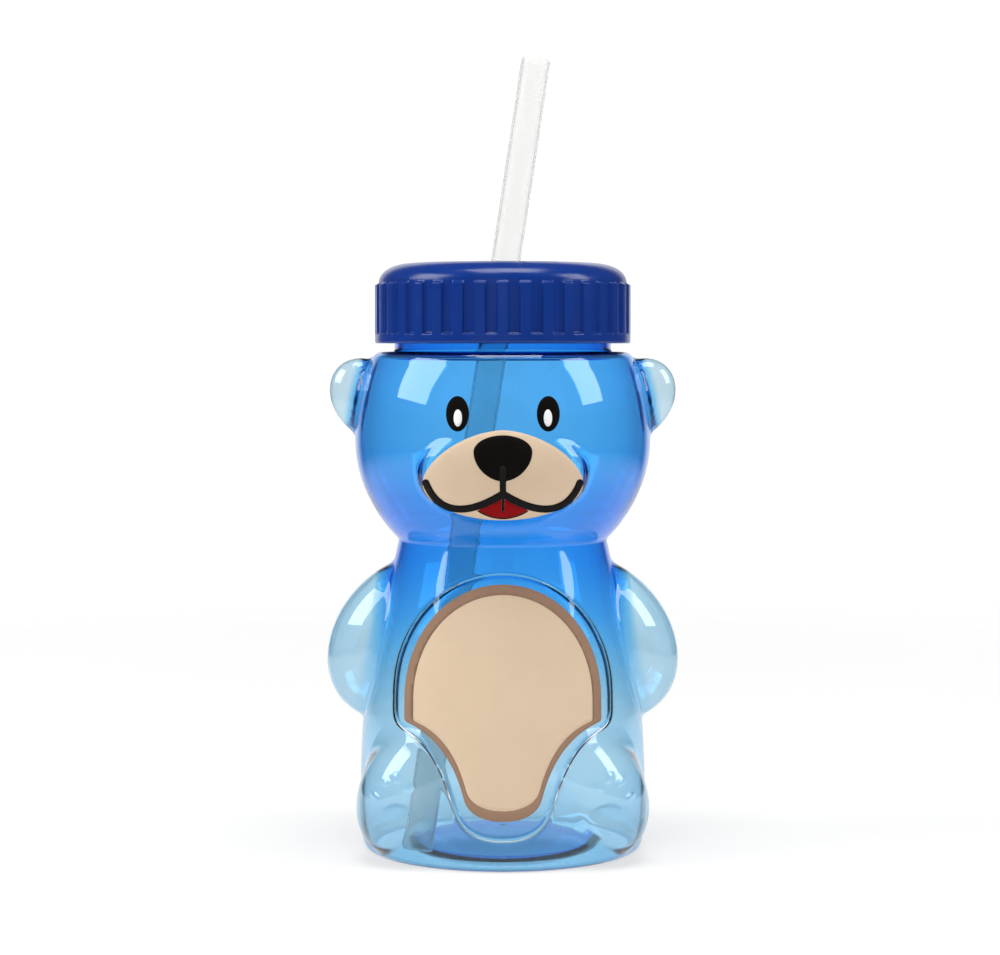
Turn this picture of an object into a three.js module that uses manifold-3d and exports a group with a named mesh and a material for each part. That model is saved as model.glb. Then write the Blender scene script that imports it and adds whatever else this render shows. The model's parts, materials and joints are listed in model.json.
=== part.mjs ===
// Bear-shaped drinking bottle: a clear blow-moulded bear with a ribbed screw cap, a loose straw
// and a printed face and belly patch. Millimetres, +Z up. The bear looks along -Y, and the
// origin is where the bottle's axis meets the plane that it stands on.
import * as THREE from 'three';
import { mergeVertices } from 'three/addons/utils/BufferGeometryUtils.js';
import Module from 'manifold-3d';

const wasm = await Module();
wasm.setup();

// Blown shell: [radius, height] places on the body's outline, from the base to the rim, and
// between them the points that pull its curves
const WALL = 1.0;
const FLOOR = 1.8;
const PUSH_UP = { height: 4, pull: 17 };
const STANDING_RING = { inner: 24, outer: 37 };
const BASE_EDGE_PULL = 0.5;
const HIP = [39, 9.5];
const TORSO_PULLS = [[40, 48], [33.5, 62]];
const NECK_CREASE = [28.5, 84.7];
const JAW_PULLS = [[32.8, 88.6], [40.3, 98.5]];
const CHEEK = [40.5, 111.6];
const BROW_PULL = 124.5;
const TEMPLE = [36.2, 133.2];
const CROWN_PULL = 35.4;
const SHOULDER = [33, 136];
const FINISH = { outer: 29.7, inner: 27.9, rim: 156.2 };

// Lobes of the shell: ellipsoid centre, half sizes, and lean of its long axis in degrees
const ARM = { centre: [25.9, 0, 57.6], radii: [19.5, 14.5, 25.2], roll: 42.7, pitch: 0 };
const LEG = { centre: [22, -19.6, 21.1], radii: [14.7, 18, 21.8], roll: 34, pitch: 0 };
const EAR = { centre: [36.7, 0, 123], radii: [9.7, 5.7, 12.2], roll: -41.2, pitch: 0 };
const MUZZLE = { centre: [0, -32.4, 104.4], radii: [22.6, 9.3, 14.8], roll: 0, pitch: 15.6 };
const SHELL_LOBES = [ARM, LEG, EAR];

// Belly: a raised pad and the printed patch on it, all three of one outline form, whose sweeps are
// pulled by these shares of its half width, stem and drop, and whose foot by this height
const PAD_HEIGHT = 1.2;
const PAD = { top: 77.5, spring: 46, half: 28.6, corner: 37.4, stem: [13.2, 18.5], bottom: 8.6 };
const BORDER = { top: 74.9, spring: 44.6, half: 26, corner: 38.6, stem: [10.2, 19.5], bottom: 13.8 };
const FILL = { top: 72.2, spring: 44.6, half: 23.6, corner: 38.9, stem: [9.5, 21.5], bottom: 16.6 };
const SWEEP = { corner: [0.66, 0.13], stem: [1.24, 0.52] };
const FOOT_PULL = { side: 0.91, height: 1.8, middle: 0.5 };

// Face: places are [half spacing, height] seen from the front
const PATCH = { half: 21, middle: 102.5, up: 13.2, down: 10.2 };
const NOSE = { half: 7.6, middle: 110.1, up: 4.3, down: 7.6, fullness: 0.5 };
const MOUTH = { line: 1.7, meeting: [0, 98.6], dip: [10.5, 92.1], corner: [20.1, 102] };
const TONGUE = { half: 6.7, corner: 94.5, top: 97.4, bottom: 92.75, crease: 0.65, tuck: [2.6, 94.9] };
const EYE = { place: [11.8, 119.9], radii: [3, 4.6] };
const GLINT = { place: [11.7, 118.8], radii: [1.1, 2.2] };

// Ink films lie in layers: each has a small gap below it, so that no two solids touch
const FILM = 0.2;
const FILM_GAP = 0.12;

// Screw cap and its flat seal
const CAP = { bottom: 138.2, top: 160, rib: 35, groove: 34, bore: 31.9, plate: 2 };
const CAP_BAND = 2.6;
const CAP_SHOULDER = { width: 8.6, height: 5.4, pulls: [0.6, 0.55] };
const RIBS = { count: 36, width: 3.1, height: 13.8 };
const STRAW_HOLE = 11;
const SEAL = { inner: 27.2, outer: 31.5, bottom: 156.5, top: 157.7 };

// Straw: leans from the bear's right foot through the hole in the cap
const STRAW = { outer: 8, bore: 7 };
const STRAW_FOOT = new THREE.Vector3(-22.7, -23.6, 3.2);
const STRAW_TIP = new THREE.Vector3(9.2, 8.6, 216.5);

// Facets
const BODY_SIDES = 36;
const CAP_SIDES = 72;
const CURVE_STEPS = 5;
const LOBE_SIDES = 18;
const LOBE_RINGS = 12;
const STRAW_SIDES = 16;
const FILM_STEPS = 6;

// Reach of the shapes that are cut out of the front, and how far a cutter runs past a face
const REACH = 60;
const PAST = 1;
const SIDES = [
  { name: 'left', sign: 1 },
  { name: 'right', sign: -1 },
];

// Solids

function toSolid(geometry) {
  const bare = new THREE.BufferGeometry();
  bare.setAttribute('position', geometry.getAttribute('position'));
  bare.setIndex(geometry.getIndex());
  const merged = mergeVertices(bare);
  const corners = merged.getIndex().array;
  const points = merged.getAttribute('position');
  const faces = [];
  let volume = 0;
  const [a, b, c] = [new THREE.Vector3(), new THREE.Vector3(), new THREE.Vector3()];
  for (let i = 0; i < corners.length; i += 3) {
    const [p, q, r] = corners.slice(i, i + 3);
    if (p === q || q === r || r === p) {
      continue;
    }
    faces.push([p, q, r]);
    a.fromBufferAttribute(points, p);
    b.fromBufferAttribute(points, q);
    c.fromBufferAttribute(points, r);
    volume += a.dot(b.cross(c));
  }
  const outward = volume > 0 ? faces : faces.map(([p, q, r]) => [r, q, p]);
  const mesh = new wasm.Mesh({
    numProp: 3,
    vertProperties: points.array,
    triVerts: Uint32Array.from(outward.flat()),
  });
  return new wasm.Manifold(mesh);
}

function toGeometry(solid) {
  const { vertProperties, triVerts } = solid.getMesh();
  const geometry = new THREE.BufferGeometry();
  geometry.setAttribute('position', new THREE.BufferAttribute(vertProperties, 3));
  geometry.setIndex(new THREE.BufferAttribute(triVerts, 1));
  geometry.computeVertexNormals();
  return geometry;
}

function revolve(outline, sides) {
  const geometry = new THREE.LatheGeometry(outline.getPoints(CURVE_STEPS), sides);
  return toSolid(geometry.rotateX(Math.PI / 2));
}

function ellipsoid({ centre, radii, roll, pitch }, sign, growth) {
  const geometry = new THREE.SphereGeometry(1, LOBE_SIDES, LOBE_RINGS);
  geometry.scale(...radii.map((radius) => radius + growth));
  geometry.rotateY(-sign * THREE.MathUtils.degToRad(roll));
  geometry.rotateX(THREE.MathUtils.degToRad(pitch));
  geometry.translate(sign * centre[0], centre[1], centre[2]);
  return toSolid(geometry);
}

// A shape drawn in the front view (X across, Z up), carried from the axis out past the front
function frontPrism(shape) {
  const geometry = new THREE.ExtrudeGeometry(shape, {
    depth: REACH,
    bevelEnabled: false,
    curveSegments: FILM_STEPS,
  });
  return toSolid(geometry.rotateX(Math.PI / 2));
}

// Bottle

// The body's outline, moved in by the wall for the hollow or out by a film's height
function bodyOutline({ inset, floor, neck, rim }) {
  const drop = Math.max(inset, 0);
  const at = ([radius, height]) => [radius - inset, height];
  const top = SHOULDER[1] - drop;
  const outline = new THREE.Path();
  outline.moveTo(0, PUSH_UP.height + floor);
  outline.quadraticCurveTo(PUSH_UP.pull, PUSH_UP.height + floor, STANDING_RING.inner, floor);
  outline.lineTo(STANDING_RING.outer - inset, floor);
  outline.quadraticCurveTo(...at([HIP[0], floor + BASE_EDGE_PULL]), ...at(HIP));
  outline.bezierCurveTo(...TORSO_PULLS.flatMap(at), ...at(NECK_CREASE));
  outline.bezierCurveTo(...JAW_PULLS.flatMap(at), ...at(CHEEK));
  outline.quadraticCurveTo(...at([CHEEK[0], BROW_PULL]), TEMPLE[0] - inset, TEMPLE[1] - drop);
  outline.quadraticCurveTo(CROWN_PULL - inset, top, SHOULDER[0] - drop, top);
  outline.lineTo(neck, top);
  outline.lineTo(neck, rim);
  outline.lineTo(0, rim);
  return outline;
}

function bodySolid(growth) {
  const outline = bodyOutline({ inset: -growth, floor: 0, neck: FINISH.outer, rim: FINISH.rim });
  return revolve(outline, BODY_SIDES);
}

function hollowSolid() {
  const outline = bodyOutline({ inset: WALL, floor: FLOOR, neck: FINISH.inner, rim: FINISH.rim + PAST });
  return revolve(outline, BODY_SIDES);
}

function withLobes(body, growth) {
  let joined = body.add(ellipsoid(MUZZLE, 1, growth));
  for (const lobe of SHELL_LOBES) {
    for (const { sign } of SIDES) {
      joined = joined.add(ellipsoid(lobe, sign, growth));
    }
  }
  return joined;
}

// Arch, straight side to a corner, then a concave sweep in to a rounded stem between the legs
function bellyShape({ top, spring, half, corner, stem, bottom }) {
  const [stemHalf, stemTop] = stem;
  const drop = corner - stemTop;
  const upper = [half * SWEEP.corner[0], corner - drop * SWEEP.corner[1]];
  const lower = [stemHalf * SWEEP.stem[0], corner - drop * SWEEP.stem[1]];
  const side = [stemHalf * FOOT_PULL.side, bottom + FOOT_PULL.height];
  const middle = stemHalf * FOOT_PULL.middle;
  const shape = new THREE.Shape();
  shape.absellipse(0, spring, half, top - spring, 0, Math.PI, false, 0);
  shape.lineTo(-half, corner);
  shape.bezierCurveTo(-upper[0], upper[1], -lower[0], lower[1], -stemHalf, stemTop);
  shape.bezierCurveTo(-side[0], side[1], -middle, bottom, 0, bottom);
  shape.bezierCurveTo(middle, bottom, ...side, stemHalf, stemTop);
  shape.bezierCurveTo(...lower, ...upper, half, corner);
  return shape;
}

function widened({ top, spring, half, corner, stem, bottom }, by) {
  return {
    top: top + by,
    spring,
    half: half + by,
    corner: corner - by,
    stem: [stem[0] + by, stem[1]],
    bottom: bottom - by,
  };
}

function bottleSolid() {
  const pad = frontPrism(bellyShape(PAD)).intersect(bodySolid(PAD_HEIGHT));
  const outside = withLobes(bodySolid(0), 0).add(pad);
  return outside.subtract(withLobes(hollowSolid(), -WALL));
}

// Ink films

function film(shape, surface, layer) {
  const lower = FILM_GAP + layer * (FILM + FILM_GAP);
  return frontPrism(shape).intersect(surface(lower + FILM)).subtract(surface(lower));
}

function faceSurface(growth) {
  return bodySolid(growth).add(ellipsoid(MUZZLE, 1, growth));
}

function bellySurface(growth) {
  return bodySolid(PAD_HEIGHT + growth);
}

function oval([x, z], [halfWidth, halfHeight]) {
  const shape = new THREE.Shape();
  shape.absellipse(x, z, halfWidth, halfHeight, 0, 2 * Math.PI);
  return shape;
}

function patchShape({ half, middle, up, down }) {
  const shape = new THREE.Shape();
  shape.absellipse(0, middle, half, up, 0, Math.PI);
  shape.absellipse(0, middle, half, down, Math.PI, 2 * Math.PI);
  return shape;
}

function noseShape({ half, middle, up, down, fullness }) {
  const bottom = middle - down;
  const pull = [half * fullness, middle - down * fullness];
  const shape = new THREE.Shape();
  shape.absellipse(0, middle, half, up, 0, Math.PI);
  shape.bezierCurveTo(-half, pull[1], -pull[0], bottom, 0, bottom);
  shape.bezierCurveTo(pull[0], bottom, half, pull[1], half, middle);
  return shape;
}

// A line of even width along a curve, with round ends
function strokeShape(curve, width) {
  const steps = 2 * FILM_STEPS;
  const edges = [1, -1].map((side) => {
    const points = [];
    for (let i = 0; i <= steps; i += 1) {
      const along = curve.getTangent(i / steps);
      const offset = new THREE.Vector2(-along.y, along.x).multiplyScalar((side * width) / 2);
      points.push(curve.getPoint(i / steps).add(offset));
    }
    return points;
  });
  const end = curve.getTangent(1).angle();
  const start = curve.getTangent(0).angle();
  const tip = curve.getPoint(1);
  const tail = curve.getPoint(0);
  const shape = new THREE.Shape(edges[0]);
  shape.absarc(tip.x, tip.y, width / 2, end + Math.PI / 2, end - Math.PI / 2, true);
  edges[1].reverse().forEach((point) => shape.lineTo(point.x, point.y));
  shape.absarc(tail.x, tail.y, width / 2, start - Math.PI / 2, start - 1.5 * Math.PI, true);
  return shape;
}

function barShape(width, bottom, top) {
  const shape = new THREE.Shape();
  shape.moveTo(-width / 2, bottom);
  shape.lineTo(width / 2, bottom);
  shape.lineTo(width / 2, top);
  shape.lineTo(-width / 2, top);
  return shape;
}

function mouthShapes(width) {
  const halves = SIDES.map(({ sign }) => {
    const [meeting, dip, corner] = [MOUTH.meeting, MOUTH.dip, MOUTH.corner].map(
      ([x, z]) => new THREE.Vector2(sign * x, z),
    );
    return strokeShape(new THREE.QuadraticBezierCurve(meeting, dip, corner), width);
  });
  const noseBottom = NOSE.middle - NOSE.down - 2 * FILM_GAP;
  return [...halves, barShape(width, MOUTH.meeting[1], noseBottom)];
}

function tongueShape({ half, corner, top, bottom, tuck }) {
  const shape = new THREE.Shape();
  shape.moveTo(-half, corner);
  shape.quadraticCurveTo(0, 2 * bottom - corner, half, corner);
  shape.quadraticCurveTo(tuck[0], tuck[1], 0, top);
  shape.quadraticCurveTo(-tuck[0], tuck[1], -half, corner);
  return shape;
}

function mouthFilm() {
  const crease = barShape(TONGUE.crease, TONGUE.corner, MOUTH.meeting[1]);
  const films = [...mouthShapes(MOUTH.line), crease].map((shape) => film(shape, faceSurface, 1));
  return films.reduce((joined, next) => joined.add(next));
}

function tongueFilm() {
  const clear = 2 * FILM_GAP;
  const crease = barShape(TONGUE.crease + 2 * clear, TONGUE.corner - clear, MOUTH.meeting[1]);
  const around = [...mouthShapes(MOUTH.line + 2 * clear), crease].map(frontPrism);
  return around.reduce((left, cut) => left.subtract(cut), film(tongueShape(TONGUE), faceSurface, 1));
}

// Cap, seal and straw

function capSolid() {
  const bandTop = CAP.bottom + CAP_BAND;
  const { width, height, pulls } = CAP_SHOULDER;
  const flat = CAP.groove - width;
  const ribTop = CAP.top - height;
  const outline = new THREE.Path();
  outline.moveTo(0, CAP.bottom);
  outline.lineTo(CAP.rib, CAP.bottom);
  outline.lineTo(CAP.rib, bandTop);
  outline.lineTo(CAP.groove, bandTop);
  outline.lineTo(CAP.groove, ribTop);
  const pull = [flat + width * pulls[1], CAP.top];
  outline.bezierCurveTo(CAP.groove, ribTop + height * pulls[0], ...pull, flat, CAP.top);
  outline.lineTo(0, CAP.top);
  let cap = revolve(outline, CAP_SIDES);
  for (let i = 0; i < RIBS.count; i += 1) {
    const depth = CAP.rib - CAP.groove + PAST;
    const rib = new THREE.BoxGeometry(depth, RIBS.width, RIBS.height + PAST);
    rib.translate(CAP.rib - depth / 2, 0, bandTop + (RIBS.height - PAST) / 2);
    cap = cap.add(toSolid(rib.rotateZ((2 * Math.PI * i) / RIBS.count)));
  }
  const bore = rod(CAP.bore, CAP.bottom - PAST, CAP.top - CAP.plate);
  const strawHole = rod(STRAW_HOLE / 2, CAP.bottom, CAP.top + PAST);
  return cap.subtract(bore).subtract(strawHole);
}

function rod(radius, bottom, top) {
  const geometry = new THREE.CylinderGeometry(radius, radius, top - bottom, BODY_SIDES);
  return toSolid(geometry.rotateX(Math.PI / 2).translate(0, 0, (top + bottom) / 2));
}

function sealSolid() {
  const hole = rod(SEAL.inner, SEAL.bottom - PAST, SEAL.top + PAST);
  return rod(SEAL.outer, SEAL.bottom, SEAL.top).subtract(hole);
}

function strawGeometry() {
  const section = new THREE.Shape();
  section.absarc(0, 0, STRAW.outer / 2, 0, 2 * Math.PI);
  const bore = new THREE.Path();
  bore.absarc(0, 0, STRAW.bore / 2, 0, 2 * Math.PI, true);
  section.holes.push(bore);
  const depth = STRAW_FOOT.distanceTo(STRAW_TIP);
  return new THREE.ExtrudeGeometry(section, { depth, bevelEnabled: false, curveSegments: STRAW_SIDES });
}

// Assembly

const bear = new THREE.Group();

function place(name, geometry, finish) {
  const mesh = new THREE.Mesh(geometry, new THREE.MeshStandardMaterial({ metalness: 0, ...finish }));
  mesh.name = name;
  bear.add(mesh);
  return mesh;
}

const CLEAR_BLUE = { color: 0x4a9eee, roughness: 0.05, transparent: true, opacity: 0.45 };
const CAP_BLUE = { color: 0x1e3a91, roughness: 0.35 };
const STRAW_WHITE = { color: 0xf7f7f4, roughness: 0.4 };
const SEAL_WHITE = { color: 0xdfe3e6, roughness: 0.7 };
const TAN_INK = { color: 0xdcc4a8, roughness: 0.5 };
const BROWN_INK = { color: 0x9d7e69, roughness: 0.5 };
const BLACK_INK = { color: 0x1d1b18, roughness: 0.45 };
const RED_INK = { color: 0x962126, roughness: 0.5 };
const WHITE_INK = { color: 0xfafafa, roughness: 0.5 };

place('bottle', toGeometry(bottleSolid()), CLEAR_BLUE);
place('cap', toGeometry(capSolid()), CAP_BLUE);
place('rim_seal', toGeometry(sealSolid()), SEAL_WHITE);

const straw = place('straw', strawGeometry(), STRAW_WHITE);
const strawLine = STRAW_TIP.clone().sub(STRAW_FOOT).normalize();
straw.position.copy(STRAW_FOOT);
straw.quaternion.setFromUnitVectors(new THREE.Vector3(0, 0, 1), strawLine);

const border = film(bellyShape(BORDER), bellySurface, 0);
const clearing = frontPrism(bellyShape(widened(FILL, FILM_GAP)));
place('belly_print_border', toGeometry(border.subtract(clearing)), BROWN_INK);
place('belly_print_fill', toGeometry(film(bellyShape(FILL), bellySurface, 0)), TAN_INK);
place('muzzle_print', toGeometry(film(patchShape(PATCH), faceSurface, 0)), TAN_INK);
place('nose_print', toGeometry(film(noseShape(NOSE), faceSurface, 1)), BLACK_INK);
place('mouth_print', toGeometry(mouthFilm()), BLACK_INK);
place('tongue_print', toGeometry(tongueFilm()), RED_INK);
for (const { name, sign } of SIDES) {
  const eye = oval([sign * EYE.place[0], EYE.place[1]], EYE.radii);
  const glint = oval([sign * GLINT.place[0], GLINT.place[1]], GLINT.radii);
  place(`eye_print_${name}`, toGeometry(film(eye, faceSurface, 0)), BLACK_INK);
  place(`eye_highlight_${name}`, toGeometry(film(glint, faceSurface, 1)), WHITE_INK);
}

export default bear;
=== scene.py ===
"""Looks of a bear-shaped drinking bottle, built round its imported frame.

Lengths are in millimetres until a mesh is made; the studio is in metres."""
import json
import math

import bpy
import numpy as np
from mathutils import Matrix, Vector
from mathutils.geometry import delaunay_2d_cdt


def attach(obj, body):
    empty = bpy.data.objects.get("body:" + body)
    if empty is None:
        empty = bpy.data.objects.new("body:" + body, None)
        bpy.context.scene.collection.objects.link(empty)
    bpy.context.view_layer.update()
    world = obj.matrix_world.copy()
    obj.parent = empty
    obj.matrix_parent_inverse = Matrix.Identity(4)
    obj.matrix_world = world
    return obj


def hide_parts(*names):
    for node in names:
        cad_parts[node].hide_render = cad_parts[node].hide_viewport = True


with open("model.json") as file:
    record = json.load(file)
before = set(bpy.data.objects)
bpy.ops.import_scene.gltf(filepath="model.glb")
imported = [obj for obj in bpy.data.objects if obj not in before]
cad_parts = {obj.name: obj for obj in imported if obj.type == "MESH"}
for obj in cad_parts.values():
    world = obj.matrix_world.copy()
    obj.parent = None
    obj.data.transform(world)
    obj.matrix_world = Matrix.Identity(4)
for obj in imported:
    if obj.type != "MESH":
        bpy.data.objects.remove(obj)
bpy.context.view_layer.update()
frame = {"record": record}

MM = 0.001

# Blown shell: [radius, height] places and pulls of its outline
SHOULDER_TOP = 136.0
PUSH_UP = [[0, 4], [17, 4], [24, 0]]
STANDING_RING = [[24, 0], [37, 0]]
BASE_EDGE = [[37, 0], [39, 0.5], [39, 9.5]]
TORSO = [[39, 9.5], [40, 48], [33.5, 62], [28.5, 84.7]]
JAW = [[28.5, 84.7], [32.8, 88.6], [40.3, 98.5], [40.5, 111.6]]
BROW = [[40.5, 111.6], [40.5, 124.5], [36.2, 133.2]]
CROWN = [[36.2, 133.2], [35.4, SHOULDER_TOP], [33, SHOULDER_TOP]]
NECK_OUTER = 29.7
NECK_INNER = 27.9
RIM = 156.2
RIM_ROUND = 0.5
SHELL_ROUNDING = 0.55

# Lobes of the shell: centre, half sizes, leans in degrees, and the blend that rounds its crease
ARM = {"centre": (25.9, 0, 57.6), "radii": (19.5, 14.5, 25.2), "roll": 42.7, "pitch": 0, "blend": 1.4}
LEG = {"centre": (22, -19.6, 21.1), "radii": (14.7, 18, 21.8), "roll": 34, "pitch": 0, "blend": 2.2}
EAR = {"centre": (36.7, 0, 123), "radii": (9.7, 5.7, 12.2), "roll": -41.2, "pitch": 0, "blend": 1.8}
MUZZLE = {"centre": (0, -32.4, 104.4), "radii": (22.6, 9.3, 14.8), "roll": 0, "pitch": 15.6, "blend": 0.8}
PAIRED_LOBES = (ARM, LEG, EAR)

# Belly: the raised pad and the two prints on it share one outline form
PAD_HEIGHT = 1.2
PAD_EDGE = 0.2
PAD_EDGE_INSIDE = 1.3
PAD_ROUNDING = 2.0
BELLY_PRINT_ROUNDING = 0.5
PAD = {"top": 77.5, "spring": 46, "half": 28.6, "corner": 37.4, "stem": (13.2, 18.5), "bottom": 8.6}
BORDER = {"top": 74.9, "spring": 44.6, "half": 26, "corner": 38.6, "stem": (10.2, 19.5), "bottom": 13.8}
FILL = {"top": 72.2, "spring": 44.6, "half": 23.6, "corner": 38.9, "stem": (9.5, 21.5), "bottom": 16.6}
SWEEP_CORNER = (0.66, 0.13)
SWEEP_STEM = (1.24, 0.52)
FOOT_SIDE, FOOT_HEIGHT, FOOT_MIDDLE = 0.91, 1.8, 0.5

# Raised paw marks on the soles, seen from the front: toes as (half spacing, height), half sizes and
# outward lean, and a heel whose lower part runs out into the sole
TOES = [
    ((24.2, 22.3), (1.5, 1.2), 10),
    ((27.6, 24.7), (1.3, 1.5), 20),
    ((31.2, 23.5), (0.85, 1.6), 41),
    ((33.4, 19.1), (0.75, 1.45), 48),
]
TOE_EDGE = (0.7, 1.2)
HEEL = {"centre": (27.2, 14.0), "radii": (4.7, 3.7), "edge": (0.84, 1.08), "run_out": (-0.6, 0.5)}
SOLE = {"back": -14, "bottom": 8, "top": 30, "facing": (0.25, 0.55)}
PAW_HEIGHT = 0.36
PAW_INSIDE = 0.75

# Wall of the shell: (height, thickness) of the turned body and of its legs, arms and ears; then of its
# push-up, neck and muzzle, with the places between which the wall changes
WALL_BY_HEIGHT = [(0, 0.5), (4, 0.5), (9, 0.4), (20, 0.32), (38, 0.3), (52, 0.6), (66, 1.05), (80, 1.42),
                  (92, 1.45), (100, 1.22), (110, 1.0), (130, 0.95)]
LOBE_WALL_BY_HEIGHT = [(36, 0.2), (46, 0.25), (108, 0.25), (116, 0.16)]
EARS_BETWEEN = (108, 116)
THINNED_FROM, THINNED_TO = 0.2, 4.5
PUSH_UP_WALL = 1.3
PUSH_UP_BETWEEN, PUSH_UP_BELOW = (25.5, 23.5), 5
NECK_WALL = NECK_OUTER - NECK_INNER
NECK_BETWEEN, NECK_ABOVE = (33, NECK_OUTER + 0.6), SHOULDER_TOP - 2
MUZZLE_WALL = 0.8
MUZZLE_WIDTHS, MUZZLE_HEIGHTS = (20, 14), (84, 90)

# Face, seen from the front: places are (half spacing, height)
PATCH = {"half": 21, "middle": 101.6, "up": 14.1, "down": 9.6, "fullness": 1.7}
NOSE = {"half": 7.6, "middle": 110.1, "up": 4.3, "down": 7.6}
MOUTH_LINE = 1.95
MOUTH = [(0, 99.2), (6.5, 95), (16, 91.3), (20.1, 101.8)]
PHILTRUM_LINE = 1.65
PHILTRUM_TOP = 106.6
NOSE_GAP = 0.05
TONGUE = {"half": 6.7, "corner": 94.5, "top": 98.9, "bottom": 92.5, "tuck": (3.2, 97.2)}
TONGUE_CREASE = 0.65
TONGUE_LIP = 0.36
LIP_INSET = 0.3
INK_GAP = 0.06
EYE = {"place": (11.8, 119.9), "radii": (3, 4.6)}
GLINT = {"place": (11.7, 118.8), "radii": (1.1, 2.2)}

# Cap, its seal and the straw
CAP = {"bottom": 138.2, "top": 160, "rib": 35, "groove": 34, "bore": 31.9, "plate": 2, "band": 2.6}
CAP_SHOULDER = {"width": 8.6, "height": 5.4, "run": 4.73, "rise": 3.24}
CAP_ROUNDING = 0.22
CAP_INNER_CORNER = 1
CAP_MOUTH_FLARE, CAP_MOUTH_HEIGHT = 0.3, 0.6
RIBS = {"count": 36, "width": 3.1, "height": 13.8, "flank": 0.24, "end": (0.1, -0.5)}
BAND_EDGE = (0.3, -0.25)
STRAW_HOLE = 11
HOLE_BEVEL = 0.7
SEAL = {"inner": 27.2, "outer": 31.5, "bottom": 156.5, "top": 157.7, "round": 0.35}
STRAW = {"outer": 8, "bore": 7}
STRAW_FOOT = Vector((-22.7, -23.6, 3.2))
STRAW_TIP = Vector((9.2, 8.6, 216.5))
PITCH = 4.2333
THREAD = {"start": 142.2, "turns": 1.6, "height": 1.25, "half": 1.15, "crest": 0.35, "fade": 0.12}
THREAD_FROM = math.pi / 2


# Curves and small maths

TINY = 1e-9
FINE_STEP = 0.1
OUTLINE_STEP = 0.3


def bezier(points, steps):
    """Points along a Bezier curve of any degree, without its last one."""
    t = np.linspace(0, 1, steps, endpoint=False)[:, None]
    level = [np.asarray(p, float)[None, :] for p in points]
    while len(level) > 1:
        level = [a * (1 - t) + b * t for a, b in zip(level, level[1:])]
    return level[0]


def spaced(path, spacing):
    """The path again, with its points as far apart as spacing(points) asks."""
    steps = np.linalg.norm(np.diff(path, axis=0), axis=1)
    middles = (path[1:] + path[:-1]) / 2
    counts = np.concatenate([[0], np.cumsum(steps / spacing(middles))])
    wanted = np.linspace(0, counts[-1], max(2, int(round(counts[-1])) + 1))
    return np.stack([np.interp(wanted, counts, path[:, k]) for k in range(path.shape[1])], axis=1)


def evenly(path, step):
    return spaced(path, lambda middles: np.full(len(middles), step))


def closed(outline):
    return np.vstack([outline, outline[:1]])


def averaged(even, sigma, past_ends):
    """Points a fine step apart, averaged over about sigma, with points past both ends."""
    reach = int(3 * sigma / FINE_STEP)
    weights = np.exp(-0.5 * (np.arange(-reach, reach + 1) * FINE_STEP / sigma) ** 2)
    weights /= weights.sum()
    before, after = past_ends(even, reach)
    padded = np.vstack([before, even, after])
    return np.stack([np.convolve(padded[:, k], weights, mode="valid") for k in range(2)], axis=1)


def softened(path, sigma):
    """An open path with its corners rounded."""
    return averaged(evenly(path, FINE_STEP), sigma,
                    lambda p, n: (2 * p[0] - p[n:0:-1], 2 * p[-1] - p[-2:-n - 2:-1]))


def rounded_closed(outline, sigma):
    """A closed outline with its corners rounded."""
    smooth = averaged(evenly(closed(outline), FINE_STEP)[:-1], sigma, lambda p, n: (p[-n:], p[:n]))
    return evenly(closed(smooth), OUTLINE_STEP)[:-1]


def smoothstep(low, high, value):
    """A smooth step from 0 at low to 1 at high, whichever is larger."""
    t = np.clip((value - low) / (high - low), 0, 1)
    return t * t * (3 - 2 * t)


def smooth_min(a, b, blend):
    h = np.clip(0.5 + 0.5 * (b - a) / blend, 0, 1)
    return b * (1 - h) + a * h - blend * h * (1 - h)


def by_height(table, heights):
    """Values between the (height, value) pairs of a table."""
    places, values = zip(*table)
    return np.interp(heights, places, values)


# The shell's outside as a field: negative inside, about the distance in millimetres

RUN_STEPS = 90
WALL_SAMPLES = 1400
WALL_MARGIN = 0.25
RING_MIDDLE = (STANDING_RING[0][0] + STANDING_RING[1][0]) / 2
CLEAR_OF_PUSH_UP = 20
SLOPE_REACH = 0.02
LEAST_SLOPE = 0.2


def shell_path():
    """The outline of the turned body, from the middle of its push-up to its rim."""
    runs = (PUSH_UP, STANDING_RING, BASE_EDGE, TORSO, JAW, BROW, CROWN)
    points = [bezier(run, RUN_STEPS) for run in runs]
    points.append(np.array([CROWN[-1], [NECK_OUTER, SHOULDER_TOP], [NECK_OUTER, RIM - RIM_ROUND]]))
    path = softened(np.vstack(points), SHELL_ROUNDING)
    path[0, 0] = 0
    return path


def wall_part(path):
    """The outline between the standing ring and the shoulder, where each height has one radius."""
    radius, height = path[:, 0], path[:, 1]
    outside_push_up = (radius > RING_MIDDLE) | (height > CLEAR_OF_PUSH_UP)
    return path[outside_push_up & (height > WALL_MARGIN) & (height < SHOULDER_TOP - WALL_MARGIN)]


SHELL_PATH = shell_path()
WALL_PART = wall_part(SHELL_PATH)
WALL_HEIGHTS = np.linspace(WALL_PART[0, 1], WALL_PART[-1, 1], WALL_SAMPLES)
WALL_RADII = np.interp(WALL_HEIGHTS, WALL_PART[:, 1], WALL_PART[:, 0])
WALL_COSINES = 1 / np.sqrt(1 + np.gradient(WALL_RADII, WALL_HEIGHTS) ** 2)


def body_field(p):
    radius = np.hypot(p[..., 0], p[..., 1])
    off = radius - np.interp(p[..., 2], WALL_HEIGHTS, WALL_RADII)
    return off * np.interp(p[..., 2], WALL_HEIGHTS, WALL_COSINES)


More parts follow.
